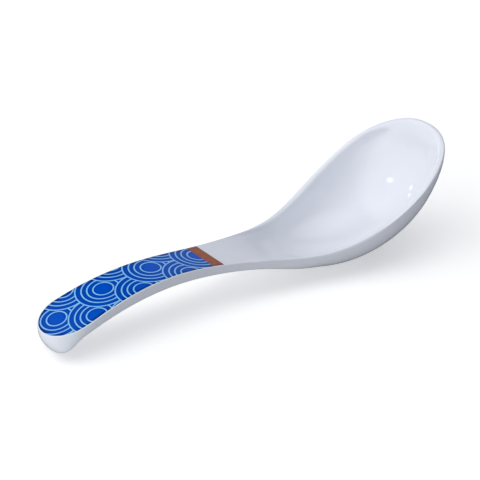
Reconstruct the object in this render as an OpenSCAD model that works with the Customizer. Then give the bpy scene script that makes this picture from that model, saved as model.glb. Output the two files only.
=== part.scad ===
// Chinese soup spoon with an arched handle, moulded in one piece.
// A printed foil and its end band lie flush in a shallow seat on top of the handle.
// X runs along the spoon to the front of the bowl, Z points up from the table.
// The origin is on the table, under the middle of the overall length.
// A station is a cut across the spoon. At each one a rim height, a half width
// and a depth below the rim are set, and smooth curves run through them.

/* [Overall] */
// Overall length, from the handle tip to the front of the bowl
length = 160; // [150:1:170]

/* [Handle tip] */
// Height of the top face at the tip
tip_rim_z = 9.2; // [8.8:0.1:10.3]
// Half width that the sides aim at before the tip is rounded
tip_half_w = 10.5; // [9.5:0.1:11.5]
// Depth of the moulding under the top face at the tip
tip_depth = 6.8; // [6:0.1:8]
// Length over which the tip is rounded in plan
tip_round = 11.8; // [10:0.1:13]

/* [Heel under the tip] */
// Distance of the heel's lowest point from the tip
heel_place = 4.6; // [4:0.1:6]
// How much deeper the heel reaches than the rest of the handle
heel_drop = 4.6; // [4:0.1:5]
// Distance from the heel's lowest point to where it ends
heel_reach = 6.1; // [5:0.1:8]

/* [Grip] */
// Share of the length at which the grip station lies
grip_share = 0.13; // [0.11:0.01:0.15]
// Height of the top face at the grip
grip_rim_z = 15.5; // [14.8:0.1:16.3]
// Half width at the grip
grip_half_w = 9.4; // [8.8:0.1:10.3]
// Depth of the handle at the grip
grip_depth = 5.1; // [4.6:0.1:5.6]

/* [Crest of the arch] */
// Share of the length at which the crest lies
crest_share = 0.27; // [0.25:0.01:0.29]
// Height of the top face at the crest
crest_rim_z = 18; // [17.3:0.1:18.8]
// Half width at the crest
crest_half_w = 7.9; // [7.5:0.1:8.5]
// Depth of the handle at the crest
crest_depth = 4.6; // [4.1:0.1:5.1]

/* [Neck] */
// Share of the length at which the narrowest part lies
neck_share = 0.42; // [0.4:0.01:0.44]
// Height of the top face at the neck
neck_rim_z = 15.6; // [14.9:0.1:16.4]
// Half width at the neck
neck_half_w = 8.1; // [7.7:0.1:8.7]
// Depth of the handle at the neck
neck_depth = 3.9; // [3.6:0.1:4.6]

/* [Throat, where the bowl begins] */
// Share of the length at which the throat lies
throat_share = 0.54; // [0.52:0.01:0.56]
// Height of the rim at the throat
throat_rim_z = 12.6; // [12:0.1:13.5]
// Half width at the throat
throat_half_w = 11.3; // [10.5:0.1:12]
// Depth of the moulding at the throat
throat_depth = 4.7; // [4.4:0.1:5.4]

/* [Belly, where the rim is lowest] */
// Share of the length at which the belly lies
belly_share = 0.66; // [0.64:0.01:0.68]
// Height of the rim at the belly
belly_rim_z = 11.5; // [11:0.1:12]
// Half width at the belly
belly_half_w = 16.4; // [15.5:0.1:17.5]
// Depth of the moulding at the belly
belly_depth = 10.4; // [9.8:0.1:11]

/* [Shoulder, where the bowl is widest] */
// Share of the length at which the shoulder lies
shoulder_share = 0.8; // [0.78:0.01:0.82]
// Height of the rim at the shoulder
shoulder_rim_z = 19.1; // [18:0.1:20]
// Half width at the shoulder
shoulder_half_w = 21.6; // [20:0.1:22.5]
// Depth of the moulding at the shoulder
shoulder_depth = 17.8; // [17:0.1:18.5]

/* [Front of the bowl] */
// Share of the length at which the front station lies
front_share = 0.9; // [0.89:0.01:0.91]
// Height of the rim at the front station
front_rim_z = 28; // [27:0.1:29]
// Half width that the sides aim at there
front_half_w = 21.5; // [20:0.1:22.5]
// Depth of the moulding at the front station
front_depth = 18.7; // [17.5:0.1:19.5]
// Height of the rim at the very front
nose_rim_z = 36.5; // [35:0.1:38]
// Half width that the sides aim at before the front is rounded
nose_half_w = 20; // [19:0.1:21.5]
// Depth that the underside aims at before the front is rounded
nose_depth = 10.3; // [9:0.1:12]
// Length over which the front is rounded
nose_round = 23.9; // [21:0.1:27]
// Squareness of the front in plan, where 2 is an ellipse
nose_square = 2.28; // [2:0.02:2.6]

/* [Shape of a cut across] */
// Squareness under the tip, where 2 is an ellipse
tip_square = 2.6; // [2:0.1:3.2]
// Squareness of the handle
handle_square = 6.4; // [4:0.1:7]
// Squareness of the bowl outside
bowl_square = 1.9; // [1.8:0.1:2.4]
// Squareness of the bowl inside
hollow_square = 2; // [1.8:0.1:2.4]

/* [Rim, walls and hollow] */
// Radius of the rounded bowl rim, half of the wall there
rim_r = 1.2; // [1:0.05:1.3]
// Radius that breaks the upper edge of the handle
edge_r = 0.25; // [0.2:0.05:0.7]
// Thickness of the moulding under the hollow
floor_t = 2.6; // [2.2:0.1:3]
// Share of the length at which the handle's flat face starts to sink
hollow_start_share = 0.44; // [0.43:0.01:0.48]
// Share of the length at which the hollow has its full depth
hollow_full_share = 0.66; // [0.62:0.01:0.7]

/* [Printed foil and end band] */
// Thickness of the foil and of its seat
foil_t = 0.25; // [0.2:0.05:0.4]
// Flat white margin between the rounded edge and the seat
foil_margin = 0.1; // [0.05:0.05:0.4]
// Clearance between the foil and the walls and floor of the seat
foil_gap = 0.02; // [0.01:0.01:0.05]
// Distance from the tip at which the blue foil ends and the band starts
band_start = 62.8; // [58:0.1:64]
// Distance from the tip at which the band and its seat end
band_end = 66.9; // [65:0.1:68]

/* [Fineness] */
// Cuts round the tip
tip_cuts = 9; // [6:1:12]
// Cuts from the rounded tip to the band
grip_cuts = 20; // [12:1:26]
// Cuts from the band to the rounded front
bowl_cuts = 26; // [18:1:32]
// Cuts round the front
nose_cuts = 13; // [8:1:18]
// Rows of faces from the rim down to the line under the spoon
outer_rows = 11; // [7:1:14]
// Rows of faces from the rim down to the line inside the spoon
inner_rows = 9; // [6:1:12]

/* [Hidden] */

// Smooth curve through a list of points, like a thin batten bent over pegs
function steps_of(v) = [for (i = [1 : len(v) - 1]) v[i] - v[i - 1]];
function upper(h, i) =
    i == 0 ? 0 : h[i] / (2 * (h[i - 1] + h[i]) - h[i - 1] * upper(h, i - 1));
function carry(h, turn, i) =
    i == 0 ? 0 : (turn[i] - h[i - 1] * carry(h, turn, i - 1))
                 / (2 * (h[i - 1] + h[i]) - h[i - 1] * upper(h, i - 1));
function bend(h, turn, i) =
    i == 0 || i == len(h) ? 0 : carry(h, turn, i) - upper(h, i) * bend(h, turn, i + 1);
function bends(xs, ys) =
    let (h = steps_of(xs), rise = steps_of(ys),
         turn = [for (i = [0 : len(h) - 1])
                     i == 0 ? 0 : 6 * (rise[i] / h[i] - rise[i - 1] / h[i - 1])])
    [for (i = [0 : len(h)]) bend(h, turn, i)];
function curve(xs, ys, m, x) =
    let (k = max([for (i = [0 : len(xs) - 2]) x >= xs[i] ? i : 0]),
         h = xs[k + 1] - xs[k], a = (xs[k + 1] - x) / h, b = (x - xs[k]) / h)
    a * ys[k] + b * ys[k + 1]
    + ((pow(a, 3) - a) * m[k] + (pow(b, 3) - b) * m[k + 1]) * h * h / 6;

// The stations and the curves through them
station_x = length * [0, grip_share, crest_share, neck_share, throat_share,
                      belly_share, shoulder_share, front_share, 1];
rim_zs = [tip_rim_z, grip_rim_z, crest_rim_z, neck_rim_z, throat_rim_z,
          belly_rim_z, shoulder_rim_z, front_rim_z, nose_rim_z];
half_ws = [tip_half_w, grip_half_w, crest_half_w, neck_half_w, throat_half_w,
           belly_half_w, shoulder_half_w, front_half_w, nose_half_w];
depths = [tip_depth, grip_depth, crest_depth, neck_depth, throat_depth,
          belly_depth, shoulder_depth, front_depth, nose_depth];
rim_bends = bends(station_x, rim_zs);
width_bends = bends(station_x, half_ws);
depth_bends = bends(station_x, depths);
nose_start = length - nose_round;

function blend(from, to, x) = let (t = min(1, max(0, (x - from) / (to - from)))) t * t * (3 - 2 * t);
function mix(a, b, t) = a + (b - a) * t;
function rim_z(x) = curve(station_x, rim_zs, rim_bends, x);
function plan_taper(x) =
    x < tip_round ? sqrt(max(0, 1 - pow((tip_round - x) / tip_round, 2)))
    : x > nose_start
        ? pow(max(0, 1 - pow((x - nose_start) / nose_round, nose_square)), 1 / nose_square)
        : 1;
function half_w(x) = curve(station_x, half_ws, width_bends, x) * plan_taper(x);
function heel(x) =
    abs(x - heel_place) > heel_reach ? 0
    : heel_drop * pow(cos(90 * (x - heel_place) / heel_reach), 2);
function depth(x) = curve(station_x, depths, depth_bends, x) + heel(x);
function hollow(x) = blend(hollow_start_share * length, hollow_full_share * length, x);
function edge_radius(x) = mix(edge_r, rim_r, hollow(x));
function squareness(x) =
    mix(mix(tip_square, handle_square, blend(0, crest_share * length, x)),
        bowl_square, hollow(x));

// Plan outline: one side from the tip to the front, then back along the other
step_w = 0.04;
side_x = concat(
    [for (i = [0 : tip_cuts - 1]) tip_round * (1 - cos(90 * i / tip_cuts))],
    [for (i = [0 : grip_cuts - 1]) mix(tip_round, band_start, i / grip_cuts)],
    [band_start, (band_start + band_end) / 2, band_end],
    [for (i = [0 : bowl_cuts - 1]) mix(band_end + step_w, nose_start, i / bowl_cuts)],
    [for (i = [0 : nose_cuts])
        nose_start + nose_round * pow(sin(90 * i / nose_cuts), 2 / nose_square)]);
last_cut = len(side_x) - 1;
around = 2 * last_cut;
band_cut = tip_cuts + grip_cuts;
bowl_cut = band_cut + 3;
nose_cut = bowl_cut + bowl_cuts;

function cut_of(j) = j <= last_cut ? j : around - j;
outline = [for (j = [0 : around - 1])
    let (x = side_x[cut_of(j)]) [x, (j <= last_cut ? 1 : -1) * half_w(x)]];
outward = [for (j = [0 : around - 1])
    let (t = outline[(j + 1) % around] - outline[(j + around - 1) % around])
    [-t[1], t[0]] / norm(t)];
function spine_x(x) = min(nose_start, max(tip_round, x));
function inset(j, d) = outline[j] - d * outward[j];

// Points of one row of faces, from the underside over the rim into the hollow
function outer_point(j, turn) =
    let (o = outline[j], n = squareness(o[0]), c = pow(cos(turn), 2 / n),
         x = mix(spine_x(o[0]), o[0], c), r = edge_radius(o[0]))
    [x, c * o[1], max(0, rim_z(x) - r - (depth(x) - r) * pow(sin(turn), 2 / n))];
// The rim's height is read at the outline on the bowl, and at the point itself on
// the handle, where the top face is flat across
function rim_point(j, turn) =
    let (x = outline[j][0], r = edge_radius(x), p = inset(j, r * (1 - cos(turn))))
    [p[0], p[1], rim_z(mix(p[0], x, hollow(x))) - r + r * sin(turn)];
seat_edge = edge_r + foil_margin;
function in_seat(j) = side_x[cut_of(j)] <= band_end;
function seat_drop(j) = in_seat(j) ? foil_t : 0;
// The three rows inside the rim are the seat's edge on the handle and the
// inner half of the round rim on the bowl
seat_insets = [seat_edge, seat_edge + step_w / 2, 2 * seat_edge];
function inner_rim_point(j, i) =
    let (x = outline[j][0], h = hollow(x), r = edge_radius(x), turn = 90 + 30 * (i + 1),
         p = inset(j, mix(seat_insets[i], r * (1 - cos(turn)), h)),
         drop = mix(i == 0 ? 0 : seat_drop(j), r * (1 - sin(turn)), h))
    [p[0], p[1], rim_z(mix(p[0], x, h)) - drop];
function hollow_point(j, turn) =
    let (o = outline[j], h = hollow(o[0]), r = edge_radius(o[0]),
         p = inset(j, mix(seat_insets[2], 2 * r, h)),
         c = pow(cos(turn), 2 / hollow_square), s = pow(sin(turn), 2 / hollow_square),
         x = mix(spine_x(o[0]), p[0], c), rim_x = mix(spine_x(o[0]), mix(p[0], o[0], h), c),
         top = h * r, sink = hollow(x) * (depth(x) - floor_t))
    [x, c * p[1], rim_z(rim_x) - seat_drop(j) - top - max(0, sink - top) * s];

rows = concat(
    [for (k = [1 : outer_rows])
        [for (j = [0 : around - 1]) outer_point(j, 90 * (1 - k / outer_rows))]],
    [for (turn = [30, 60, 90]) [for (j = [0 : around - 1]) rim_point(j, turn)]],
    [for (i = [0 : 2]) [for (j = [0 : around - 1]) inner_rim_point(j, i)]],
    [for (k = [1 : inner_rows - 1])
        [for (j = [0 : around - 1]) hollow_point(j, 90 * k / inner_rows)]]);
// The spine is the middle line on which both sides of a row meet
spine_cuts = [for (i = [tip_cuts : nose_cut]) i];
under_spine = [for (i = spine_cuts) let (p = outer_point(i, 90)) [p[0], 0, p[2]]];
inner_spine = [for (i = spine_cuts) let (p = hollow_point(i, 90)) [p[0], 0, p[2]]];

row_count = len(rows);
under_base = row_count * around;
inner_base = under_base + len(spine_cuts);
function spine_place(j) = min(nose_cut, max(tip_cuts, cut_of(j % around))) - tip_cuts;
function point_of(k, j) =
    k < 0 ? under_base + spine_place(j)
    : k >= row_count ? inner_base + spine_place(j)
    : k * around + j % around;
function face(a, b, c) = a == b || b == c || a == c ? [] : [[a, b, c]];

function flat_list(lists) = [for (l = lists) for (v = l) v];
body_points = concat(flat_list(rows), under_spine, inner_spine);
body_faces = [for (k = [-1 : row_count - 1]) for (j = [0 : around - 1])
    let (a = point_of(k, j), b = point_of(k, j + 1),
         c = point_of(k + 1, j + 1), d = point_of(k + 1, j))
    for (f = concat(face(a, b, c), face(a, c, d))) f];

// A flush inlay between two cuts of the outline, as thick as the seat is deep
module inlay(first, last) {
    edge = seat_insets[1] + foil_gap;
    count = last - first + 1;
    ends = [for (i = [first : last])
        let (p = inset(i, edge),
             trim = i == last ? -foil_gap : i == first && first > 0 ? foil_gap : 0)
        [p[0] + trim, p[1]]];
    blunt = ends[0][1] > 0;
    points = concat(
        [for (p = ends) [p[0], p[1], rim_z(p[0])]],
        [for (p = ends) [p[0], -p[1], rim_z(p[0])]],
        [for (p = ends) [p[0], p[1], rim_z(p[0]) - foil_t + foil_gap]],
        [for (p = ends) [p[0], -p[1], rim_z(p[0]) - foil_t + foil_gap]]);
    low = 2 * count;
    function near(i) = i == 0 && !blunt ? 0 : count + i;
    function low_near(i) = low + near(i);
    faces = concat(
        [for (i = [0 : count - 2]) for (f = concat(
            face(i, i + 1, near(i + 1)), face(i, near(i + 1), near(i)),
            face(low + i, low_near(i + 1), low + i + 1), face(low + i, low_near(i), low_near(i + 1)),
            face(i, low + i + 1, i + 1), face(i, low + i, low + i + 1),
            face(near(i), near(i + 1), low_near(i + 1)),
            face(near(i), low_near(i + 1), low_near(i)))) f],
        face(0, near(0), low_near(0)), blunt ? face(0, low_near(0), low) : [],
        face(count - 1, low_near(count - 1), near(count - 1)),
        face(count - 1, low + count - 1, low_near(count - 1)));
    translate([-length / 2, 0, 0]) polyhedron(points, faces);
}

module spoon_body() {
    color("#f2f4f8") translate([-length / 2, 0, 0]) polyhedron(body_points, body_faces);
}

module printed_foil() {
    color("#0f4fb4") inlay(0, band_cut);
}

module end_band() {
    color("#95563c") inlay(band_cut, band_cut + 2);
}

spoon_body();
printed_foil();
end_band();
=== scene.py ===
import math

import bpy
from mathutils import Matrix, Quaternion
from mathutils.kdtree import KDTree


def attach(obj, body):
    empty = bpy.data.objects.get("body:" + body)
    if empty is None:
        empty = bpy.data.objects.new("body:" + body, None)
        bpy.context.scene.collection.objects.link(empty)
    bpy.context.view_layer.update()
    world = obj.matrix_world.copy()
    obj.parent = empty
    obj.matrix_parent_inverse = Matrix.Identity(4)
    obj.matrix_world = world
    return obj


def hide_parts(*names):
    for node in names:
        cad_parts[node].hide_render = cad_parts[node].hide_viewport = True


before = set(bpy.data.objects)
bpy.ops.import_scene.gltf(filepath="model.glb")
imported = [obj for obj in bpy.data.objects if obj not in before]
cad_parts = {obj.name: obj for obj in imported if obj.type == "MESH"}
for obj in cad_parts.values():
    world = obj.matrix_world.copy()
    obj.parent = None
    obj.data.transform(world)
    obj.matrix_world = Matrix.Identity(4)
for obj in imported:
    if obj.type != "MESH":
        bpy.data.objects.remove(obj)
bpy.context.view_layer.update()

# The spoon's body: bowl, neck, arched handle and heel pressed as one piece of white melamine.
# The hot steel mould leaves a hard gloss all over. The only crisp line is the arris along
# the handle, where the two halves of the mould meet.
MM = 0.001
SAME_POINT = 0.002 * MM
QUAD_BEND, QUAD_SKEW = 40, 179
SHARP_BEND = 50


def copy_of_node(node, name):
    """A new object with a merged copy of a CAD node's mesh, in edit mode and all selected."""
    bpy.ops.object.select_all(action="DESELECT")
    piece = bpy.data.objects.new(name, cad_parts[node].data.copy())
    bpy.context.scene.collection.objects.link(piece)
    piece.data.materials.clear()
    piece.select_set(True)
    bpy.context.view_layer.objects.active = piece
    bpy.ops.mesh.customdata_custom_splitnormals_clear()
    bpy.ops.object.mode_set(mode="EDIT")
    bpy.ops.mesh.select_mode(type="VERT")
    bpy.ops.mesh.select_all(action="SELECT")
    bpy.ops.mesh.remove_doubles(threshold=SAME_POINT)
    bpy.ops.mesh.tris_convert_to_quads(
        face_threshold=math.radians(QUAD_BEND), shape_threshold=math.radians(QUAD_SKEW)
    )
    return piece


def crease_and_smooth(piece, levels):
    """Creases every edge that bends past SHARP_BEND, then subdivides and shades smooth."""
    bpy.ops.mesh.select_mode(type="EDGE")
    bpy.ops.mesh.select_all(action="DESELECT")
    bpy.ops.mesh.edges_select_sharp(sharpness=math.radians(SHARP_BEND))
    bpy.ops.transform.edge_crease(value=1)
    bpy.ops.object.mode_set(mode="OBJECT")
    finer = piece.modifiers.new("finer", "SUBSURF")
    finer.levels = finer.render_levels = levels
    bpy.ops.object.modifier_apply(modifier=finer.name)
    bpy.ops.object.shade_smooth_by_angle(angle=math.radians(SHARP_BEND))


body = copy_of_node("spoon_body", "moulded_body")

# The rim's round is the only place in the bowl that bends this much from one face to the
# next, so it is picked by its bends. Its highest points are the ridge that runs round the
# bowl, and every other point near the rim is measured from the ridge. A point faces out if
# its normal points away from the middle of the bowl.
RIM_BEND = 22
BOWL_STARTS, BOWL_IS_FULL = -9.6 * MM, 25.6 * MM
FACES_UP = 0.96
bpy.ops.mesh.select_mode(type="EDGE")
bpy.ops.mesh.select_all(action="DESELECT")
bpy.ops.mesh.edges_select_sharp(sharpness=math.radians(RIM_BEND))
bpy.ops.mesh.select_mode(type="VERT")
bpy.ops.object.mode_set(mode="OBJECT")
points = body.data.vertices
faces_out = {
    v.index: v.normal.x * (v.co.x - BOWL_IS_FULL) + v.normal.y * v.co.y > 0 for v in points
}
rim = [v for v in points if v.select and v.co.x > BOWL_STARTS]
ridge = [v.co.copy() for v in rim if v.normal.z > FACES_UP]
nearest_on_ridge = KDTree(len(ridge))
for index, top in enumerate(ridge):
    nearest_on_ridge.insert((top.x, top.y, 0), index)
nearest_on_ridge.balance()

# The bowl's rim isn't a plain half round. Its outer side turns down at a tight corner, where
# the mould closes, so the quarter circle there becomes a squarer curve of the fourth power.
# Points near either end of the quarter circle stay where they are.
RIM_RADIUS = 1.2 * MM
ARRIS_RADIUS = 0.25 * MM
RIM_CORNER = 4
NEAR_AN_END = 0.2
for corner in rim:
    facing = corner.normal.copy()
    level = math.hypot(facing.x, facing.y)
    if not faces_out[corner.index] or min(level, facing.z) < NEAR_AN_END:
        continue
    share = min(1, (corner.co.x - BOWL_STARTS) / (BOWL_IS_FULL - BOWL_STARTS))
    radius = ARRIS_RADIUS + (RIM_RADIUS - ARRIS_RADIUS) * share * share * (3 - 2 * share)
    push = radius * (level ** (2 / RIM_CORNER) - level)
    corner.co.x += push * facing.x / level
    corner.co.y += push * facing.y / level
    corner.co.z += radius * (facing.z ** (2 / RIM_CORNER) - facing.z)

# Inside, the rim rolls into the bowl with a round that is up to twice as tall as it is wide,
# and under it the wall isn't plumb, but flares towards the bowl's mouth. Both begin past the
# throat and reach their full size in the front half of the bowl.
ROLL_STARTS, ROLL_IS_FULL = 18 * MM, 50 * MM
ROLL_WIDTH, ROLL_HEIGHT = 1.15 * RIM_RADIUS, 1.1 * RIM_RADIUS
FLARE, FLARE_DEPTH = 0.9 * MM, 8 * MM
for inner in points:
    if faces_out[inner.index] or inner.co.x < ROLL_STARTS:
        continue
    top, index, away = nearest_on_ridge.find((inner.co.x, inner.co.y, 0))
    below = ridge[index].z - inner.co.z
    if not 0 < below < FLARE_DEPTH:
        continue
    share = min(1, (inner.co.x - ROLL_STARTS) / (ROLL_IS_FULL - ROLL_STARTS))
    steep = inner.normal.x**2 + inner.normal.y**2
    inward = share * steep * FLARE * math.sin(math.pi * below / FLARE_DEPTH) / away
    inner.co.x += inward * (inner.co.x - top.x)
    inner.co.y += inward * (inner.co.y - top.y)
    if away < ROLL_WIDTH and below < ROLL_HEIGHT:
        inner.co.z -= share * below

# The roll runs into the wall without a line, because the steel mould is polished.
POLISHED_FROM, POLISHED_TO = 0.2 * RIM_RADIUS, 4 * RIM_RADIUS
bpy.ops.object.mode_set(mode="EDIT")
bpy.ops.mesh.select_all(action="DESELECT")
bpy.ops.object.mode_set(mode="OBJECT")
for inner in points:
    if faces_out[inner.index] or inner.co.x <= ROLL_STARTS:
        continue
    index = nearest_on_ridge.find((inner.co.x, inner.co.y, 0))[1]
    inner.select = POLISHED_FROM < ridge[index].z - inner.co.z < POLISHED_TO
bpy.ops.object.mode_set(mode="EDIT")
bpy.ops.mesh.vertices_smooth(factor=0.5, repeat=4)
crease_and_smooth(body, levels=2)


def linear(hex_colour):
    """An sRGB colour such as ffffff as linear red, green, blue and a full alpha."""
    parts = [int(hex_colour[i : i + 2], 16) / 255 for i in (0, 2, 4)]
    return (*(p / 12.92 if p <= 0.04045 else ((p + 0.055) / 1.055) ** 2.4 for p in parts), 1)


def add(material, kind, settings=None, links=None):
    """Adds a node with its settings, and feeds each named socket from a value or a socket."""
    node = material.node_tree.nodes.new(kind)
    for name, value in (settings or {}).items():
        setattr(node, name, value)
    for name, value in (links or {}).items():
        if isinstance(value, bpy.types.NodeSocket):
            material.node_tree.links.new(value, node.inputs[name])
        else:
            node.inputs[name].default_value = value
    return node


def new_material(name):
    """A new material without any nodes."""
    material = bpy.data.materials.new(name)
    material.use_nodes = True
    material.node_tree.nodes.clear()
    return material


# Pressed melamine resin: a hard white plastic filled with fine cellulose. It looks like
# glazed china, a shade bluish, with a faint unevenness where the powder has flowed. The
# powder's grain is finer than the render shows, so it is drawn half a millimetre wide.
FLOW = 7 * MM
GRAIN = 0.5 * MM
RIPPLE_HEIGHT, RIPPLE_STRENGTH = 0.1 * MM, 0.05
SMOOTHEST, DULLEST = 0.03, 0.07
MELAMINE_IOR = 1.5
melamine = new_material("pressed_white_melamine")
place = add(melamine, "ShaderNodeTexCoord").outputs["Object"]
flow = add(
    melamine, "ShaderNodeTexNoise", links={"Vector": place, "Scale": 1 / FLOW, "Detail": 2}
).outputs["Fac"]
grain = add(
    melamine, "ShaderNodeTexNoise", links={"Vector": place, "Scale": 1 / GRAIN, "Detail": 1}
).outputs["Fac"]
white = add(
    melamine,
    "ShaderNodeMix",
    {"data_type": "RGBA"},
    {0: flow, 6: linear("edeff5"), 7: linear("f1f2f7")},
).outputs[2]
polish = add(
    melamine, "ShaderNodeMapRange", links={"Value": grain, "To Min": SMOOTHEST, "To Max": DULLEST}
).outputs["Result"]
ripple = add(
    melamine,
    "ShaderNodeBump",
    links={"Height": flow, "Strength": RIPPLE_STRENGTH, "Distance": RIPPLE_HEIGHT},
).outputs["Normal"]
skin = add(
    melamine,
    "ShaderNodeBsdfPrincipled",
    links={"Base Color": white, "Roughness": polish, "Normal": ripple, "IOR": MELAMINE_IOR},
)
add(melamine, "ShaderNodeOutputMaterial", links={"Surface": skin.outputs["BSDF"]})
body.data.materials.append(melamine)
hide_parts("spoon_body")
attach(body, "root")

# The printed foil: a blue printed paper sheet, soaked in clear melamine and pressed into
# the top of the handle. The traditional wave pattern of ringed circles lies on it as
# flat print, so it follows the arch of the handle from the tip to the band.
foil = copy_of_node("printed_foil", "ringed_blue_foil")
crease_and_smooth(foil, levels=3)

# The pattern is measured along the arch, so each point gets its distance along the
# face from the tip, and its distance from the middle line, both in millimetres.
FACE_OR_EDGE = 0.5
top_face = [v.co for v in foil.data.vertices if v.normal.z > FACE_OR_EDGE]
crest_line = sorted({(round(spot.x, 6), round(spot.z, 6)) for spot in top_face})
along = [0.0]
for (x0, z0), (x1, z1) in zip(crest_line, crest_line[1:]):
    along.append(along[-1] + math.hypot(x1 - x0, z1 - z0))


def distance_along(x):
    """How far x lies from the tip, measured along the arch."""
    for (x0, _), (x1, _), s0, s1 in zip(crest_line, crest_line[1:], along, along[1:]):
        if x <= x1:
            return s0 + (s1 - s0) * max(0.0, x - x0) / max(x1 - x0, 1e-9)
    return along[-1]


sheet_map = foil.data.uv_layers.new(name="sheet_mm")
reach = {v.index: distance_along(v.co.x) for v in foil.data.vertices}
for loop in foil.data.loops:
    point = foil.data.vertices[loop.vertex_index]
    sheet_map.data[loop.index].uv = (reach[point.index] / MM, point.co.y / MM)

# Each point also gets its distance from the sheet's cut edge in millimetres, where the
# blue is drawn darker. The end that meets the band isn't a cut edge.
BESIDE_BAND = 0.3 * MM
band_starts = crest_line[-1][0]
cut_edge = [
    v.co.copy()
    for v in foil.data.vertices
    if abs(v.normal.z) < FACE_OR_EDGE and v.co.x < band_starts - BESIDE_BAND
]
nearest_edge = KDTree(len(cut_edge))
for index, edge_point in enumerate(cut_edge):
    nearest_edge.insert((edge_point.x, edge_point.y, 0), index)
nearest_edge.balance()
from_edge = foil.data.attributes.new("from_edge_mm", "FLOAT", "POINT")
for point in foil.data.vertices:
    from_edge.data[point.index].value = nearest_edge.find((point.co.x, point.co.y, 0))[2] / MM

# Blue ink on paper under clear pressed melamine: flat colour, a little patchy where the
# paper has soaked it up, with pale lines and the same hard gloss as the body. The sizes of
# the pattern are in millimetres on the flat sheet.
COLUMN_STEP = 9.49
ROW_STEP = 9.45
FIRST_CIRCLE = (6.67, 1.65)
RINGS = (3.376, 5.39, 7.26, 9.323)
LINE = 0.48
LINE_SOFTNESS = 0.08
OUTER_RADIUS = RINGS[-1] + LINE / 2
BLOTCH = 1.6
DARK_TO, BRIGHT_FROM = 0.7, 1.2
DEEP_FROM_EDGE = 1.7
PRESSED_GLOSS = 0.05
print_blue = new_material("ringed_print_under_clear_melamine")
sheet = add(print_blue, "ShaderNodeUVMap", {"uv_map": "sheet_mm"}).outputs["UV"]
split = add(print_blue, "ShaderNodeSeparateXYZ", links={0: sheet}).outputs
run, side = (
    add(
        print_blue, "ShaderNodeMath", {"operation": "SUBTRACT"}, {0: split[axis], 1: start}
    ).outputs[0]
    for axis, start in enumerate(FIRST_CIRCLE)
)
reach_out = add(
    print_blue, "ShaderNodeMath", {"operation": "ADD"}, {0: run, 1: OUTER_RADIUS}
).outputs[0]
columns = add(
    print_blue, "ShaderNodeMath", {"operation": "DIVIDE"}, {0: reach_out, 1: COLUMN_STEP}
).outputs[0]
last_column = add(print_blue, "ShaderNodeMath", {"operation": "FLOOR"}, {0: columns}).outputs[0]
# A later column lies over the one before it, so the lowest of three columns comes
# first and each later one covers it wherever its own circles reach.
from_centre = None
for back in (2, 1, 0):
    column = add(
        print_blue, "ShaderNodeMath", {"operation": "SUBTRACT"}, {0: last_column, 1: back}
    ).outputs[0]
    ahead = add(
        print_blue,
        "ShaderNodeMath",
        {"operation": "MULTIPLY_ADD"},
        {0: column, 1: -COLUMN_STEP, 2: run},
    ).outputs[0]
    shifted = add(
        print_blue,
        "ShaderNodeMath",
        {"operation": "MULTIPLY_ADD"},
        {0: column, 1: ROW_STEP, 2: side},
    ).outputs[0]
    across = add(
        print_blue,
        "ShaderNodeMath",
        {"operation": "WRAP"},
        {0: shifted, 1: ROW_STEP, 2: -ROW_STEP},
    ).outputs[0]
    offset = add(print_blue, "ShaderNodeCombineXYZ", links={0: ahead, 1: across}).outputs[0]
    radius = add(
        print_blue, "ShaderNodeVectorMath", {"operation": "LENGTH"}, {0: offset}
    ).outputs["Value"]
    if from_centre is None:
        from_centre = radius
        continue
    covers = add(
        print_blue,
        "ShaderNodeMath",
        {"operation": "LESS_THAN"},
        {0: radius, 1: OUTER_RADIUS},
    ).outputs[0]
    from_centre = add(
        print_blue,
        "ShaderNodeMix",
        {"data_type": "FLOAT"},
        {0: covers, 2: from_centre, 3: radius},
    ).outputs[0]
# The nearest of the four rings decides how far a point is from a line.
to_line = None
for ring in RINGS:
    gap = add(
        print_blue, "ShaderNodeMath", {"operation": "SUBTRACT"}, {0: from_centre, 1: ring}
    ).outputs[0]
    gap = add(print_blue, "ShaderNodeMath", {"operation": "ABSOLUTE"}, {0: gap}).outputs[0]
    if to_line is not None:
        gap = add(
            print_blue, "ShaderNodeMath", {"operation": "MINIMUM"}, {0: to_line, 1: gap}
        ).outputs[0]
    to_line = gap
line_ink = add(
    print_blue,
    "ShaderNodeMapRange",
    {"interpolation_type": "SMOOTHSTEP"},
    {
        "Value": to_line,
        "From Min": LINE / 2 - LINE_SOFTNESS,
        "From Max": LINE / 2 + LINE_SOFTNESS,
        "To Min": 1.0,
        "To Max": 0.0,
    },
).outputs["Result"]
patches = add(
    print_blue, "ShaderNodeTexNoise", links={"Vector": sheet, "Scale": 1 / BLOTCH, "Detail": 3}
).outputs["Fac"]
blue = add(
    print_blue,
    "ShaderNodeMix",
    {"data_type": "RGBA"},
    {0: patches, 6: linear("004fc2"), 7: linear("0059d4")},
).outputs[2]
# The open discs are the brightest blue. Between two lines the ink lies thicker and darker.
open_blue = add(
    print_blue,
    "ShaderNodeMapRange",
    {"interpolation_type": "SMOOTHSTEP"},
    {"Value": to_line, "From Min": DARK_TO, "From Max": BRIGHT_FROM},
).outputs["Result"]
blue = add(
    print_blue,
    "ShaderNodeMix",
    {"data_type": "RGBA"},
    {0: open_blue, 6: linear("004bb6"), 7: blue},
).outputs[2]
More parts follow.
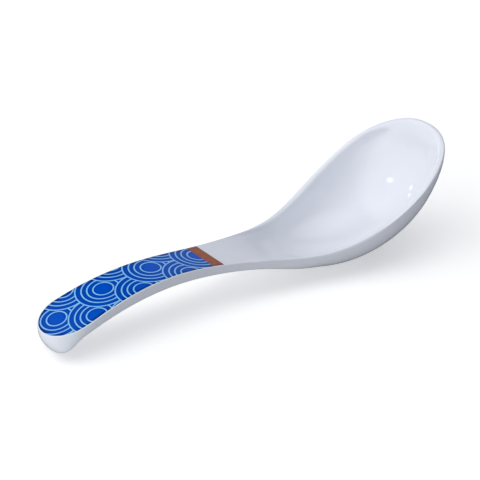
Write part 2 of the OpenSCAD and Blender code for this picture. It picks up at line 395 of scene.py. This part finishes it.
# Along the cut edge the blue is drawn deepest.
inland = add(
    print_blue, "ShaderNodeAttribute", {"attribute_name": "from_edge_mm"}
).outputs["Fac"]
deepened_at_edge = add(
    print_blue,
    "ShaderNodeMapRange",
    {"interpolation_type": "SMOOTHSTEP"},
    {"Value": inland, "From Max": DEEP_FROM_EDGE, "To Min": 1.0, "To Max": 0.0},
).outputs["Result"]
blue = add(
    print_blue,
    "ShaderNodeMix",
    {"data_type": "RGBA"},
    {0: deepened_at_edge, 6: blue, 7: linear("003384")},
).outputs[2]
drawn = add(
    print_blue,
    "ShaderNodeMix",
    {"data_type": "RGBA"},
    {0: line_ink, 6: blue, 7: linear("8fceff")},
).outputs[2]
face = add(
    print_blue,
    "ShaderNodeBsdfPrincipled",
    links={"Base Color": drawn, "Roughness": PRESSED_GLOSS, "IOR": MELAMINE_IOR},
)
add(print_blue, "ShaderNodeOutputMaterial", links={"Surface": face.outputs["BSDF"]})
foil.data.materials.append(print_blue)
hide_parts("printed_foil")
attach(foil, "root")

# The end band: a strip of the same printed paper, soaked in clear melamine. It closes the
# pattern towards the bowl, and is pressed flush with the foil and the white body.
band = copy_of_node("end_band", "brown_end_band")
crease_and_smooth(band, levels=2)

# Reddish brown ink on paper under clear pressed melamine: flat, glossy and streaky. It is
# drawn darker along the line towards the bowl and at the strip's right end.
STREAK = 1.2 * MM
LINE_WIDTH, LINE_DARKNESS = 0.35 * MM, 0.7
END_WIDTH, END_DARKNESS = 1.5 * MM, 0.8
front = max(v.co.x for v in band.data.vertices)
right = min(v.co.y for v in band.data.vertices)
print_brown = new_material("brown_print_under_clear_melamine")
place = add(print_brown, "ShaderNodeTexCoord").outputs["Object"]
streaks = add(
    print_brown, "ShaderNodeTexNoise", links={"Vector": place, "Scale": 1 / STREAK, "Detail": 3}
).outputs["Fac"]
brown = add(
    print_brown,
    "ShaderNodeMix",
    {"data_type": "RGBA"},
    {0: streaks, 6: linear("8f4628"), 7: linear("b26741")},
).outputs[2]
on_band = add(print_brown, "ShaderNodeSeparateXYZ", links={0: place}).outputs
front_line = add(
    print_brown,
    "ShaderNodeMapRange",
    {"interpolation_type": "SMOOTHSTEP"},
    {
        "Value": on_band[0],
        "From Min": front - LINE_WIDTH,
        "From Max": front,
        "To Max": LINE_DARKNESS,
    },
).outputs["Result"]
right_end = add(
    print_brown,
    "ShaderNodeMapRange",
    {"interpolation_type": "SMOOTHSTEP"},
    {
        "Value": on_band[1],
        "From Min": right + END_WIDTH,
        "From Max": right,
        "To Max": END_DARKNESS,
    },
).outputs["Result"]
dark = add(
    print_brown, "ShaderNodeMath", {"operation": "MAXIMUM"}, {0: front_line, 1: right_end}
).outputs[0]
brown = add(
    print_brown,
    "ShaderNodeMix",
    {"data_type": "RGBA"},
    {0: dark, 6: brown, 7: linear("5a2410")},
).outputs[2]
face = add(
    print_brown,
    "ShaderNodeBsdfPrincipled",
    links={"Base Color": brown, "Roughness": PRESSED_GLOSS, "IOR": MELAMINE_IOR},
)
add(print_brown, "ShaderNodeOutputMaterial", links={"Surface": face.outputs["BSDF"]})
band.data.materials.append(print_brown)
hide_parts("end_band")
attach(band, "root")

# The table: a sheet of opal acrylic lit from below, as product photographs use. It looks
# evenly white to the camera, and throws a soft light up at the spoon's underside.
TABLE_SIZE = 24
bpy.ops.object.select_all(action="DESELECT")
bpy.ops.mesh.primitive_plane_add(size=TABLE_SIZE, location=(0, 0, 0))
table = bpy.context.active_object
table.name = "white_table"

# Cast opal acrylic: an even, dull white with no gloss of its own. One lamp under the sheet
# stands by the heel, so the sheet throws most light there. It has one brightness to the
# camera, one for the light that it throws at the spoon, and one in the spoon's reflections.
DULL = 0.9
NO_GLOSS = 1.0
SEEN_GLOW = 0.35
UNDER_LAMP = (-125 * MM, -20 * MM, 0)
LAMP_FULL, LAMP_GONE = 15 * MM, 75 * MM
GLOW_AT_LAMP, GLOW_AWAY = 0.8, 0.275
acrylic = new_material("opal_acrylic_lit_from_below")
seen = add(
    acrylic,
    "ShaderNodeBsdfPrincipled",
    links={
        "Base Color": linear("f4f2ee"),
        "Roughness": DULL,
        "IOR": NO_GLOSS,
        "Emission Color": linear("ffffff"),
        "Emission Strength": SEEN_GLOW,
    },
)
place = add(acrylic, "ShaderNodeTexCoord").outputs["Object"]
from_lamp = add(
    acrylic, "ShaderNodeVectorMath", {"operation": "DISTANCE"}, {0: place, 1: UNDER_LAMP}
).outputs["Value"]
uplight = add(
    acrylic,
    "ShaderNodeMapRange",
    {"interpolation_type": "SMOOTHSTEP"},
    {
        "Value": from_lamp,
        "From Min": LAMP_FULL,
        "From Max": LAMP_GONE,
        "To Min": GLOW_AT_LAMP,
        "To Max": GLOW_AWAY,
    },
).outputs["Result"]
thrown = add(
    acrylic,
    "ShaderNodeBsdfPrincipled",
    links={
        "Base Color": linear("959595"),
        "Roughness": DULL,
        "IOR": NO_GLOSS,
        "Emission Color": linear("f4faff"),
        "Emission Strength": uplight,
    },
)
mirrored = add(
    acrylic,
    "ShaderNodeBsdfPrincipled",
    links={"Base Color": linear("737373"), "Roughness": DULL, "IOR": NO_GLOSS},
)
path = add(acrylic, "ShaderNodeLightPath").outputs
unseen = add(
    acrylic,
    "ShaderNodeMixShader",
    links={0: path["Is Glossy Ray"], 1: thrown.outputs["BSDF"], 2: mirrored.outputs["BSDF"]},
)
opal = add(
    acrylic,
    "ShaderNodeMixShader",
    links={0: path["Is Camera Ray"], 1: unseen.outputs["Shader"], 2: seen.outputs["BSDF"]},
)
add(acrylic, "ShaderNodeOutputMaterial", links={"Surface": opal.outputs["Shader"]})
table.data.materials.append(acrylic)

# The light: large white panels round and over the table, each brightest in its middle and
# faded to nothing at its rim, and a little blue daylight from all round. Each panel is an
# azimuth and a height in degrees, and a brightness.
PANEL_REACH = 36
DAYLIGHT = linear("002b4e")[:3]
SOFT_PANELS = (
    (77.1, 4, 1.19),
    (0, 66, 1.1),
    (144, 44, 0.955),
    (192.9, 24, 0.75),
    (205.7, 4, 0.73),
    (180, 4, 0.59),
    (231.4, 4, 0.59),
    (257.1, 4, 0.56),
    (115.7, 24, 0.505),
    (0, 90, 0.465),
    (180, 66, 0.46),
    (102.9, 4, 0.325),
    (120, 66, 0.315),
    (180, 44, 0.23),
    (51.4, 4, 0.145),
    (216, 44, 0.095),
)
room = bpy.data.worlds.new("white_panels")
bpy.context.scene.world = room
room.use_nodes = True
room.node_tree.nodes.clear()
outlook = add(room, "ShaderNodeTexCoord").outputs["Generated"]
glow = DAYLIGHT
for azimuth, height, brightness in SOFT_PANELS:
    turn, lift = math.radians(azimuth), math.radians(height)
    middle = (math.cos(turn) * math.cos(lift), math.sin(turn) * math.cos(lift), math.sin(lift))
    nearness = add(
        room, "ShaderNodeVectorMath", {"operation": "DOT_PRODUCT"}, {0: outlook, 1: middle}
    ).outputs["Value"]
    panel = add(
        room,
        "ShaderNodeMapRange",
        {"interpolation_type": "SMOOTHSTEP"},
        {
            "Value": nearness,
            "From Min": math.cos(math.radians(PANEL_REACH)),
            "From Max": 1.0,
            "To Max": brightness,
        },
    ).outputs["Result"]
    glow = add(room, "ShaderNodeVectorMath", {"operation": "ADD"}, {0: panel, 1: glow}).outputs[0]
lit = add(room, "ShaderNodeBackground", links={"Color": glow}).outputs["Background"]
plain = add(room, "ShaderNodeBackground", links={"Color": linear("f6f6f7")}).outputs["Background"]
to_camera = add(room, "ShaderNodeLightPath").outputs["Is Camera Ray"]
shown = add(room, "ShaderNodeMixShader", links={0: to_camera, 1: lit, 2: plain})
add(room, "ShaderNodeOutputWorld", links={"Surface": shown.outputs["Shader"]})

# The lamps: three small windows of light across the room. They add little light, but the
# glossy bowl shows each one as a crisp glint. Each is an azimuth and a height, half a length,
# half a width and a tilt, all in degrees as seen from the bowl, and a brightness. Their
# places were worked out from the glints, and each is turned towards the spoon.
LAMP_DISTANCE = 1.6
IN_THE_BOWL = (66.5 * MM, 0, 17 * MM)
LAMPS = (
    ("window_high", 143.6, 31.2, 4.2, 1.2, 25, 5.0),
    ("window_low", 116.2, 17.0, 2.9, 0.8, 33, 3.6),
    ("window_lowest", 109.0, 15.2, 2.9, 0.8, 33, 3.6),
)
for name, azimuth, height, half_length, half_width, tilt, brightness in LAMPS:
    turn, lift = math.radians(azimuth), math.radians(height)
    long_side, short_side = (
        LAMP_DISTANCE * math.tan(math.radians(half)) for half in (half_length, half_width)
    )
    light = bpy.data.lights.new(name, "AREA")
    light.shape = "ELLIPSE"
    light.size, light.size_y = 2 * long_side, 2 * short_side
    light.energy = brightness * math.pi**2 * long_side * short_side
    lamp = bpy.data.objects.new(name, light)
    lamp.location = (
        IN_THE_BOWL[0] + LAMP_DISTANCE * math.cos(turn) * math.cos(lift),
        IN_THE_BOWL[1] + LAMP_DISTANCE * math.sin(turn) * math.cos(lift),
        IN_THE_BOWL[2] + LAMP_DISTANCE * math.sin(lift),
    )
    facing = (-lamp.location).to_track_quat("-Z", "Y")
    lamp.rotation_euler = (facing @ Quaternion((0, 0, 1), math.radians(tilt))).to_euler()
    lamp.visible_camera = False
    bpy.context.scene.collection.objects.link(lamp)

# The camera: a long lens in front of the handle's right side, looking down on the spoon, so
# that the handle points to the lower left of the picture and the bowl to the upper right.
camera = bpy.data.objects.new("camera", bpy.data.cameras.new("camera"))
camera.location = (-0.637626, -0.827151, 0.591478)
camera.rotation_euler = [math.radians(turn) for turn in (61.1904, -0.6209, -37.2508)]
camera.data.sensor_width = 36
camera.data.lens = 271.06
bpy.context.scene.collection.objects.link(camera)
bpy.context.scene.camera = camera
bpy.context.scene.view_settings.view_transform = "Standard"
